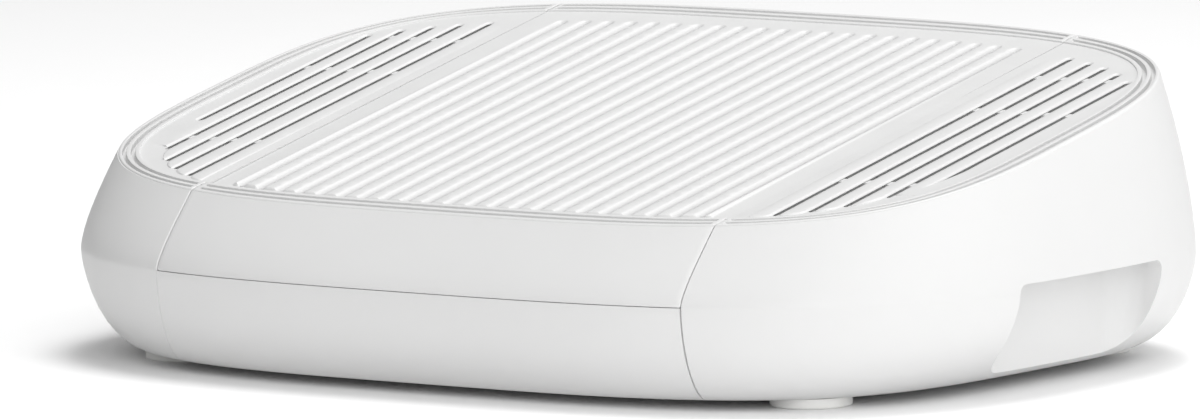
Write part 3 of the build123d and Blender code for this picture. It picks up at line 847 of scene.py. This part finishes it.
def make_bin(side, body, mirror):
    """One end bin as a hollow shell with its bars and bosses; built on +X, mirrored for -X."""
    skin = Skin()
    fractions = np.concatenate([[-1.0], np.linspace(-0.9975, 0.9975, 201), [1.0]])
    outline, _, _ = rim_level(0.0)
    near_seam = end_curve(fractions, *outline, BIN_FACE)[:, 0] < BIN_FACE + BRIDGE
    rows = outer_rows(skin, lambda *o: end_curve(fractions, *o), BIN_FACE, near_seam, True, True)
    slots = SIDE_SLOTS[:-1]
    lone = SIDE_SLOTS[-1]
    last_wall = slots[-1] + GROOVE_WIDTH / 2
    edge = np.array([skin.points[v] for v in rows[0]])
    half = len(edge) // 2
    miss = np.abs(edge[:half, 1] - slot_front(last_wall))
    gutter_end = int(np.argmin(miss + 100 * (edge[:half, 0] < last_wall)))
    fade_from = int(np.argmin(np.abs(edge[:half, 0] - (slots[-1] - GUTTER_FADE))))
    for i, vertex in enumerate(rows[0]):
        share = min(1.0, max(0.0, (i - fade_from) / (gutter_end - fade_from)))
        drop = BIN_GUTTER + (PLATE_DROP - BIN_GUTTER) * share
        x, y, _ = skin.points[vertex]
        skin.points[vertex] = (x, y, plane_z(y, drop))
    for upper, lower in zip(rows, rows[1:]):
        skin.strip(upper, lower)
    seam = skin.add([(BIN_FACE, STRIP_BACK, plane_z(STRIP_BACK, PLATE_DROP))])[0]
    start = strip_wall(BIN_RIB, 1.0)
    corner = skin.points[rows[0][gutter_end]]
    end_points = []
    for share in (0.25, 0.5, 0.75, 1.0):
        x = last_wall + (corner[0] - last_wall) * share
        y = slot_front(last_wall) + (corner[1] - slot_front(last_wall)) * share
        reach = 1.0 - share
        drop = BIN_GUTTER + (PLATE_DROP - BIN_GUTTER) * share
        end_points.append((x, y, drop, (0.3 * reach, reach), 0.0))
    ribs = [(BIN_RIB, slots[0] - GROOVE_WIDTH / 2)]
    ribs += [(a + GROOVE_WIDTH / 2, b - GROOVE_WIDTH / 2) for a, b in zip(slots, SIDE_SLOTS[1:])]
    tail = rows[0][gutter_end + 1:]
    ribbed_top(skin, slots, start, {"nose_to": None, "points": end_points}, seam,
               rows[0][:gutter_end][::-1], tail, ribs, SLOT_DEPTH, BIN_STYLE,
               [(lone, *LONE_ENDS[side], groove_span(lone)[1])])
    skin.fill([rows[-1]])
    cap = [row[0] for row in reversed(rows)] + [seam] + [row[-1] for row in rows]
    skin.fill([cap], plane=(1, 2))
    shell = skin.object(side + "_shell")

    curve = ring_curve(121, 0)
    inner = BIN_FACE - 1.0
    turns = [math.pi / 2, 1.3, 1.1, 0.9, 0.7, 0.5, 0.3, 0.12]
    levels = [lower_level(t, WALL, FLOOR_Z) for t in turns]
    rises = (0.02, 0.15, 0.3, 0.45, 0.6, 0.75, 0.87, 0.95, 1.0)
    levels += [upper_level(r, WALL, BIN_UNDERSIDE) for r in rises]
    space = hollow(levels, curve, inner)
    cut(space, rounded_block(NOTCH_X - WALL, NOTCH_HALF + WALL, NOTCH_TOP + WALL))
    cut(space, block((BIN_FACE - 0.5, -190, -1), (BIN_FACE + LIP_WALL, 190, LIP_TOP)))
    cut(shell, space)
    cut(shell, rounded_block(NOTCH_X, NOTCH_HALF, NOTCH_TOP))
    low, high = RUNNER_WINDOW_Z
    for y in (-RUNNER_Y, RUNNER_Y):
        cut(shell, block((BIN_FACE - 1, y - RUNNER_WINDOW_HALF, low),
                         (BIN_FACE + 3.5, y + RUNNER_WINDOW_HALF, high)))
    parts = Skin()
    corner_y, corner_z = BAR_HALF - BAR_CHAMFER[0], BAR_BOTTOM - BAR_CHAMFER[1]
    for y in CROSS_BARS:
        bar = [(y - BAR_HALF, BAR_TOP), (y + BAR_HALF, BAR_TOP), (y + BAR_HALF, corner_z),
               (y + corner_y, BAR_BOTTOM), (y - corner_y, BAR_BOTTOM), (y - BAR_HALF, corner_z)]
        ends = [parts.add([(x, yy, plane_z(yy, drop)) for yy, drop in bar])
                for x in (slots[0] - BAR_PAST[0], lone + BAR_PAST[1])]
        parts.strip(ends[0], ends[1], closed=True)
        parts.faces += [tuple(ends[0]), tuple(ends[1])]
    for y in (-RUNNER_Y, RUNNER_Y):
        for along in RUNNER_BOSSES:
            pillar(parts, BIN_FACE + along, y, FLOOR_Z - 1.0, RUNNER_BOSS_TOP, RUNNER_BOSS_RADIUS)
    for y in (-CATCH_Y, CATCH_Y):
        pillar(parts, CATCH_SCREW_X, y, plane_z(y, BIN_UNDERSIDE - 1.0),
               plane_z(y, BIN_UNDERSIDE + CATCH_BOSS), CATCH_BOSS_RADIUS, SLOPE)
    fittings = parts.object(side + "_fittings")
    joined = bmesh.new()
    joined.from_mesh(shell.data)
    joined.from_mesh(fittings.data)
    if mirror:
        bmesh.ops.scale(joined, vec=(-1, 1, 1), verts=joined.verts)
        bmesh.ops.reverse_faces(joined, faces=joined.faces)
    joined.to_mesh(shell.data)
    joined.free()
    bpy.data.objects.remove(fittings)
    return finish_shell(shell, body, side + "_bin_shell")


make_bin("right", "right_bin", False)
make_bin("left", "left_bin", True)


# ============================ floor and light ============================
def add_floor():
    """A wide sheet of matte white paper."""
    mesh = bpy.data.meshes.new("floor")
    half = 14.0
    corners = [(-half, -half, 0), (half, -half, 0), (half, half, 0), (-half, half, 0)]
    mesh.from_pydata(corners, [], [(0, 1, 2, 3)])
    floor = bpy.data.objects.new("floor", mesh)
    bpy.context.scene.collection.objects.link(floor)
    paper = plastic("floor_paper", (0.96, 0.96, 0.96), shade=0.99, roughness=0.9,
                    grain=500.0, grain_depth=0.00002, specular=0.1)
    mesh.materials.append(paper)


AIM_HEIGHT = 0.06


def add_light(name, azimuth, elevation, distance, size, watts):
    """A square softbox that faces the object, seen from the given direction."""
    turn, rise = math.radians(azimuth), math.radians(elevation)
    away = Vector((math.sin(turn) * math.cos(rise), -math.cos(turn) * math.cos(rise),
                   math.sin(rise)))
    data = bpy.data.lights.new(name, "AREA")
    data.shape = "SQUARE"
    data.size = size
    data.energy = watts
    lamp = bpy.data.objects.new(name, data)
    lamp.location = away * distance + Vector((0, 0, AIM_HEIGHT))
    lamp.rotation_euler = away.to_track_quat("Z", "Y").to_euler()
    bpy.context.scene.collection.objects.link(lamp)


def add_world():
    """White studio light that falls off from the +X side to the -X side."""
    world = bpy.data.worlds.new("studio")
    world.use_nodes = True
    sky, sky_links = world.node_tree.nodes, world.node_tree.links
    aim = sky.new("ShaderNodeTexCoord")
    axes = sky.new("ShaderNodeSeparateXYZ")
    sides = sky.new("ShaderNodeMapRange")
    sides.inputs["From Min"].default_value = -1.0
    sides.inputs["To Min"].default_value = 0.0
    sides.inputs["To Max"].default_value = 1.3
    sky_links.new(aim.outputs["Generated"], axes.inputs[0])
    sky_links.new(axes.outputs["X"], sides.inputs["Value"])
    sky_links.new(sides.outputs["Result"], sky["Background"].inputs["Strength"])
    sky["Background"].inputs["Color"].default_value = (1, 1, 1, 1)
    bpy.context.scene.world = world


add_floor()
add_light("key", azimuth=172.0, elevation=79.0, distance=2.4, size=1.2, watts=33.5)
add_light("side", azimuth=80.0, elevation=8.0, distance=2.6, size=1.4, watts=4.5)
add_light("fill", azimuth=37.0, elevation=10.0, distance=2.8, size=1.8, watts=19.0)
add_world()
bpy.context.scene.view_settings.view_transform = "Standard"
